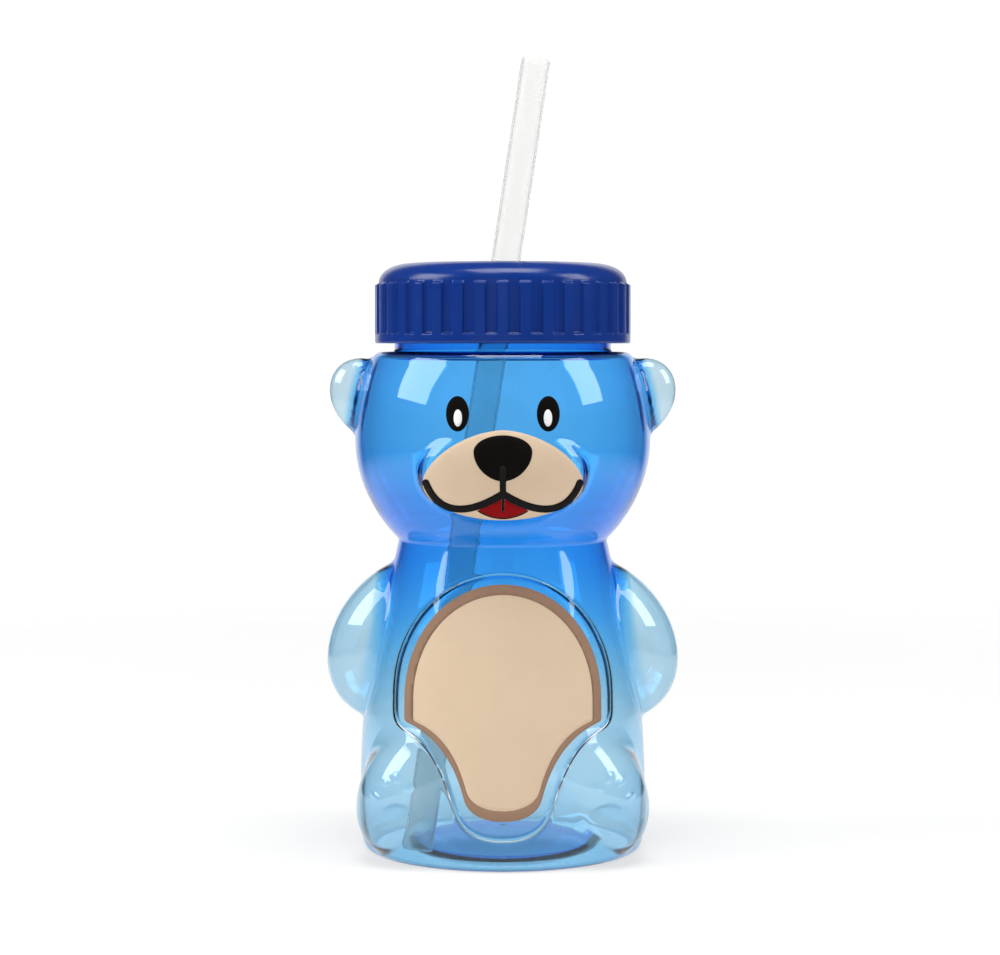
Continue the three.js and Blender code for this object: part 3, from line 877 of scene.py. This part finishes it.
def make_straw():
    line = STRAW_TIP - STRAW_FOOT
    axis = line.normalized()
    aside = axis.orthogonal().normalized()
    across = axis.cross(aside)
    outer, bore, length = STRAW["outer"] / 2, STRAW["bore"] / 2, line.length
    wall, middle = outer - bore, (outer + bore) / 2
    arc = np.linspace(0, math.pi, STRAW_LIP_STEPS)
    tip = np.stack([middle + wall / 2 * np.cos(arc), length - wall / 2 + wall / 2 * np.sin(arc)], 1)
    foot = tip[::-1] * (1, -1) + (0, length)
    stations = np.linspace(wall, length - wall, STRAW_RINGS)
    up = np.stack([np.full(STRAW_RINGS, outer), stations], 1)
    down = np.stack([np.full(STRAW_RINGS, bore), stations[::-1]], 1)
    path = np.vstack([up, tip, down, foot])
    angles = even_angles(STRAW_COLUMNS)
    ring = np.cos(angles)[:, None] * np.array(aside) + np.sin(angles)[:, None] * np.array(across)
    radius, along = path[:, 0][:, None, None], path[:, 1][:, None, None]
    return ring_object("milky_straw", np.array(STRAW_FOOT) + along * np.array(axis) + radius * ring)


cap = make_cap()
seal = make_seal()
straw = make_straw()


# Materials

NOISE_SPREAD = (0.3, 0.7)
TONE_PLACES = (0.32, 0.68)


def linear(red, green, blue):
    """An sRGB colour out of 255 as the linear colour that shaders take."""
    shares = np.array([red, green, blue]) / 255
    return tuple(np.where(shares <= 0.04045, shares / 12.92, ((shares + 0.055) / 1.055) ** 2.4)) + (1.0,)


def grey(level):
    return (level, level, level, 1)


def new_material(name, settings):
    made = bpy.data.materials.new(name)
    made.use_nodes = True
    shader = made.node_tree.nodes["Principled BSDF"]
    for socket, value in settings.items():
        shader.inputs[socket].default_value = value
    return made, made.node_tree, shader


def place_parts(tree, kind="Object"):
    """The X, Y and Z outputs of a point's place."""
    place = tree.nodes.new("ShaderNodeTexCoord")
    split = tree.nodes.new("ShaderNodeSeparateXYZ")
    tree.links.new(place.outputs[kind], split.inputs["Vector"])
    return split.outputs


def noise(tree, scale, detail, stretch=(1, 1, 1), rotation=(0, 0, 0)):
    place = tree.nodes.new("ShaderNodeTexCoord")
    mapping = tree.nodes.new("ShaderNodeMapping")
    mapping.inputs["Scale"].default_value = stretch
    mapping.inputs["Rotation"].default_value = rotation
    made = tree.nodes.new("ShaderNodeTexNoise")
    made.inputs["Scale"].default_value = scale
    made.inputs["Detail"].default_value = detail
    tree.links.new(place.outputs["Object"], mapping.inputs["Vector"])
    tree.links.new(mapping.outputs["Vector"], made.inputs["Vector"])
    return made.outputs["Fac"]


def math_node(tree, operation, *values):
    made = tree.nodes.new("ShaderNodeMath")
    made.operation = operation
    for socket, value in zip(made.inputs, values):
        tree.links.new(value, socket)
    return made.outputs["Value"]


def ranged(tree, value, target, source=NOISE_SPREAD, way="LINEAR"):
    """The value moved from its source range to a target range."""
    made = tree.nodes.new("ShaderNodeMapRange")
    made.interpolation_type = way
    for socket, number in zip(("From Min", "From Max", "To Min", "To Max"), (*source, *target)):
        made.inputs[socket].default_value = number
    tree.links.new(value, made.inputs["Value"])
    return made.outputs["Result"]


def toned(tree, value, tones):
    """A colour between tones, which are (place, colour) pairs."""
    made = tree.nodes.new("ShaderNodeValToRGB")
    ramp = made.color_ramp.elements
    while len(ramp) < len(tones):
        ramp.new(0.5)
    for element, (place, colour) in zip(ramp, tones):
        element.position, element.color = place, colour
    tree.links.new(value, made.inputs["Fac"])
    return made.outputs["Color"]


def two_tone(tree, value, first, second):
    return toned(tree, value, list(zip(TONE_PLACES, (first, second))))


def finish(tree, shader, colour, look):
    """Links a colour, and the look's roughness and small relief."""
    tree.links.new(colour, shader.inputs["Base Color"])
    roughness = ranged(tree, noise(tree, *look["sheen"]), look["roughness"])
    tree.links.new(roughness, shader.inputs["Roughness"])
    below = None
    for grain, height in look["relief"]:
        bump = tree.nodes.new("ShaderNodeBump")
        bump.inputs["Distance"].default_value = height
        tree.links.new(noise(tree, *grain), bump.inputs["Height"])
        if below is not None:
            tree.links.new(below, bump.inputs["Normal"])
        below = bump.outputs["Normal"]
    tree.links.new(below, shader.inputs["Normal"])


# Looks: shader settings, the noise that clouds the colour between two tones out of 255, the noise of the
# sheen and its roughness, and layers of relief as a noise and its height in metres. A noise has a scale, a
# detail, a stretch and a rotation.
CLEAR_LOOK = {
    "settings": {"Transmission Weight": 1.0, "IOR": 1.52}, "cloud": (35, 2), "sheen": (60, 2),
    "roughness": (0.0, 0.03), "relief": [((70, 1), 0.00004), ((240, 1, (1, 1, 0.25)), 0.000008)]}
CAP_LOOK = {
    "settings": {"Specular IOR Level": 0.42}, "cloud": (45, 4), "tones": ((6, 48, 130), (10, 54, 140)),
    "sheen": (160, 5), "roughness": (0.17, 0.27), "relief": [((1800, 2), 0.000006)]}
SEAL_LOOK = {
    "settings": {"Subsurface Weight": 0.2, "Subsurface Scale": 0.002}, "cloud": (200, 4),
    "tones": ((216, 220, 224), (228, 231, 233)),
    "sheen": (200, 4), "roughness": (0.5, 0.7), "relief": [((2500, 2), 0.000015)]}
DRAWN_STREAKS = (700, 2, (1, 1, 0.02), (0.135, -0.15, 0))
STRAW_LOOK = {
    "settings": {"IOR": 1.12}, "cloud": DRAWN_STREAKS, "tones": ((250, 250, 249), (252, 252, 251)),
    "sheen": (90, 3), "roughness": (0.14, 0.22), "relief": [(DRAWN_STREAKS, 0.00001)]}
INK_LOOK = {
    "settings": {"Specular IOR Level": 0.04}, "cloud": (130, 5),
    "sheen": (400, 3), "roughness": (0.58, 0.74), "relief": [((2600, 2), 0.000006)]}
INK_TONES = {
    "ink_tan": ((219, 195, 167), (222, 198, 170)),
    "ink_brown": ((154, 124, 103), (158, 127, 106)),
    "ink_black": ((14, 12, 11), (18, 16, 14)),
    "ink_line_black": ((27, 25, 25), (32, 30, 30)),
    "ink_red": ((136, 15, 20), (146, 20, 25)),
    "ink_white": ((248, 248, 248), (253, 253, 253)),
}

# Clear plastic: light lost in each metre of wall, by colour; tint greyer below and far out to the sides
ABSORPTION_PER_METRE = (1250, 415, 40)
ABSORPTION_DENSITY = 1250
GREY_TONES = ((0.912, 0.914, 0.92, 1), (0.929, 0.931, 0.937, 1))
CLEAR_TONES = (grey(0.985), grey(0.997))
GREY_BELOW, CLEAR_ABOVE = 45, 82
# Distances out to the sides over which the tint turns greyer, and how much greyer it gets far out
ASIDE_GREY_FROM, ASIDE_GREY_TO = 35, 43
ASIDE_GREYING = 0.75


def clear_blue_material():
    made, tree, shader = new_material("clear_blue", CLEAR_LOOK["settings"])
    place = place_parts(tree)
    rise = ranged(tree, place["Z"], (0, 1), (GREY_BELOW * MM, CLEAR_ABOVE * MM))
    aside = math_node(tree, "ABSOLUTE", place["X"])
    # Full clear tint near the middle, turning mostly grey far out to the sides
    toward_middle = ranged(tree, aside, (1, 1 - ASIDE_GREYING), (ASIDE_GREY_FROM * MM, ASIDE_GREY_TO * MM))
    tint = tree.nodes.new("ShaderNodeMix")
    tint.data_type = "RGBA"
    cloud = noise(tree, *CLEAR_LOOK["cloud"])
    tree.links.new(math_node(tree, "MULTIPLY", rise, toward_middle), tint.inputs["Factor"])
    tree.links.new(two_tone(tree, cloud, *GREY_TONES), tint.inputs["A"])
    tree.links.new(two_tone(tree, cloud, *CLEAR_TONES), tint.inputs["B"])
    finish(tree, shader, tint.outputs["Result"], CLEAR_LOOK)
    volume = tree.nodes.new("ShaderNodeVolumeAbsorption")
    passed = [1 - s / ABSORPTION_DENSITY for s in ABSORPTION_PER_METRE]
    volume.inputs["Color"].default_value = passed + [1]
    volume.inputs["Density"].default_value = ABSORPTION_DENSITY
    tree.links.new(volume.outputs["Volume"], tree.nodes["Material Output"].inputs["Volume"])
    return made


def plain_material(name, look):
    made, tree, shader = new_material(name, look["settings"])
    tones = (linear(*tone) for tone in look["tones"])
    finish(tree, shader, two_tone(tree, noise(tree, *look["cloud"]), *tones), look)
    return made


# Heights and clearness between which the straw goes from painted shade in the bottle to painted light above
# the cap
STRAW_SHADED_BELOW, STRAW_LIT_FROM = 40, 165
STRAW_SHADE_TO_LIGHT_CLEARNESS = (0.87, 0.97)


def straw_material():
    """Milky plastic made cloudier and darker inside the bottle as painted shade, and clearer and whiter
    above the cap as painted light.
    """
    made = plain_material("straw_white", STRAW_LOOK)
    tree = made.node_tree
    # Clearness by height: painted shade low in the bottle, painted light above the cap
    shade_to_light_clearness = ranged(tree, place_parts(tree)["Z"], STRAW_SHADE_TO_LIGHT_CLEARNESS, (STRAW_SHADED_BELOW * MM, STRAW_LIT_FROM * MM))
    tree.links.new(shade_to_light_clearness, tree.nodes["Principled BSDF"].inputs["Transmission Weight"])
    return made


inks = {name: plain_material(name, {**INK_LOOK, "tones": tones}) for name, tones in INK_TONES.items()}


# Pieces on their bodies

def dress(piece, node, body, look):
    piece.data.materials.append(look)
    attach(piece, body)
    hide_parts(node)


SLOTS = {entry["node"]: entry["material_slot"] for entry in frame["record"]["subparts"]}
dress(bottle, "bottle", "bottle", clear_blue_material())
dress(cap, "cap", "cap", plain_material("cap_blue", CAP_LOOK))
dress(seal, "rim_seal", "seal", plain_material("seal_white", SEAL_LOOK))
dress(straw, "straw", "straw", straw_material())
for node, piece in prints.items():
    ink = "ink_line_black" if node == "mouth_print" else SLOTS[node]
    dress(piece, node, "bottle", inks[ink])
philtrum.data.materials.append(inks["ink_line_black"])
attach(philtrum, "bottle")


# Studio: pale floor that fades out, soft light and the camera of the photograph

FLOOR_REACH = 0.9
FLOOR_RINGS, FLOOR_COLUMNS = 40, 96
FLOOR_INNER, FLOOR_CROWDING = 0.02, 1.5
FLOOR_FADE = (0.25 * FLOOR_REACH, 0.95 * FLOOR_REACH)
FLOOR_CLOUD, FLOOR_TONES = (6, 3), (linear(172, 172, 172), linear(176, 176, 176))
FLOOR_FINISH = {"Roughness": 0.7, "Specular IOR Level": 0.1,
                "Emission Color": grey(1), "Emission Strength": 0.6}

# Brightness all round: from the front (0) over the sides (0.5) to a white backdrop behind the bottle (1)
BACKDROP = [(0, 0.15), (0.5, 0.14), (0.9, 0.1), (0.955, 1.03)]

# Area lights as seen from the bottle: degrees from the front to the bear's left, degrees up, size,
# brightness, and whether clear and glossy plastic mirrors the light
SOFTBOXES = [
    ("left_softbox", -78, 31, (0.66, 0.62), 5.6, True),
    ("right_softbox", 76, 31, (0.44, 0.66), 5.6, True),
    ("top_softbox", 10, 80, (0.8, 0.6), 6.0, True),
    ("front_fill", -8, 8, (0.8, 0.6), 2.0, False),
]
LIGHT_AIM = Vector((0, 0, 0.09))
LIGHT_DISTANCE = 1.2

CAMERA_PLACE = Vector((-0.00075, -0.7, 0.1377))
CAMERA_AIM = Vector((-0.00075, 0, 0.1195))
CAMERA_LENS, CAMERA_SENSOR, CAMERA_SHIFT, CAMERA_NEAREST = 91.8, 36, -0.066, 0.05


def aimed(made, place, way):
    """Puts a light or camera at a place, looking this way."""
    made.location = place
    made.rotation_euler = way.to_track_quat("-Z", "Y").to_euler()


def make_floor():
    radii = np.linspace(FLOOR_INNER, 1, FLOOR_RINGS) ** FLOOR_CROWDING * FLOOR_REACH / MM
    grid = turned(np.stack([radii, np.zeros(FLOOR_RINGS)], 1), even_angles(FLOOR_COLUMNS))
    faces = grid_faces(FLOOR_RINGS, FLOOR_COLUMNS) + [list(range(FLOOR_COLUMNS))[::-1]]
    floor = make_object("studio_floor", grid.reshape(-1, 3), [face[::-1] for face in faces], smooth=False)
    made, tree, shader = new_material("pale_floor", FLOOR_FINISH)
    tree.links.new(two_tone(tree, noise(tree, *FLOOR_CLOUD), *FLOOR_TONES), shader.inputs["Base Color"])
    place = tree.nodes.new("ShaderNodeTexCoord")
    distance = tree.nodes.new("ShaderNodeVectorMath")
    distance.operation = "LENGTH"
    tree.links.new(place.outputs["Object"], distance.inputs[0])
    fade = ranged(tree, distance.outputs["Value"], (1, 0), FLOOR_FADE, "SMOOTHSTEP")
    tree.links.new(fade, shader.inputs["Alpha"])
    floor.data.materials.append(made)


def softbox(name, azimuth, elevation, size, radiance, mirrored):
    a, e = math.radians(azimuth), math.radians(elevation)
    way = Vector((math.sin(a) * math.cos(e), -math.cos(a) * math.cos(e), math.sin(e)))
    lamp = bpy.data.lights.new(name, "AREA")
    lamp.shape = "RECTANGLE"
    lamp.size, lamp.size_y = size
    lamp.energy = radiance * math.pi * size[0] * size[1]
    made = add_to_scene(name, lamp)
    aimed(made, LIGHT_AIM + way * LIGHT_DISTANCE, -way)
    made.visible_glossy = made.visible_transmission = mirrored


def make_world():
    world = bpy.data.worlds.new("studio")
    world.use_nodes = True
    tree = world.node_tree
    backwards = ranged(tree, place_parts(tree, "Generated")["Y"], (0, 1), (-1, 1))
    tone = toned(tree, backwards, [(place, grey(level)) for place, level in BACKDROP])
    tree.links.new(tone, tree.nodes["Background"].inputs["Color"])
    bpy.context.scene.world = world


def make_camera():
    lens = bpy.data.cameras.new("photo_camera")
    lens.lens, lens.sensor_width = CAMERA_LENS, CAMERA_SENSOR
    lens.shift_y, lens.clip_start = CAMERA_SHIFT, CAMERA_NEAREST
    made = add_to_scene("photo_camera", lens)
    aimed(made, CAMERA_PLACE, CAMERA_AIM - CAMERA_PLACE)
    bpy.context.scene.camera = made


make_floor()
make_world()
make_camera()
for light in SOFTBOXES:
    softbox(*light)
bpy.context.scene.view_settings.view_transform = "Standard"
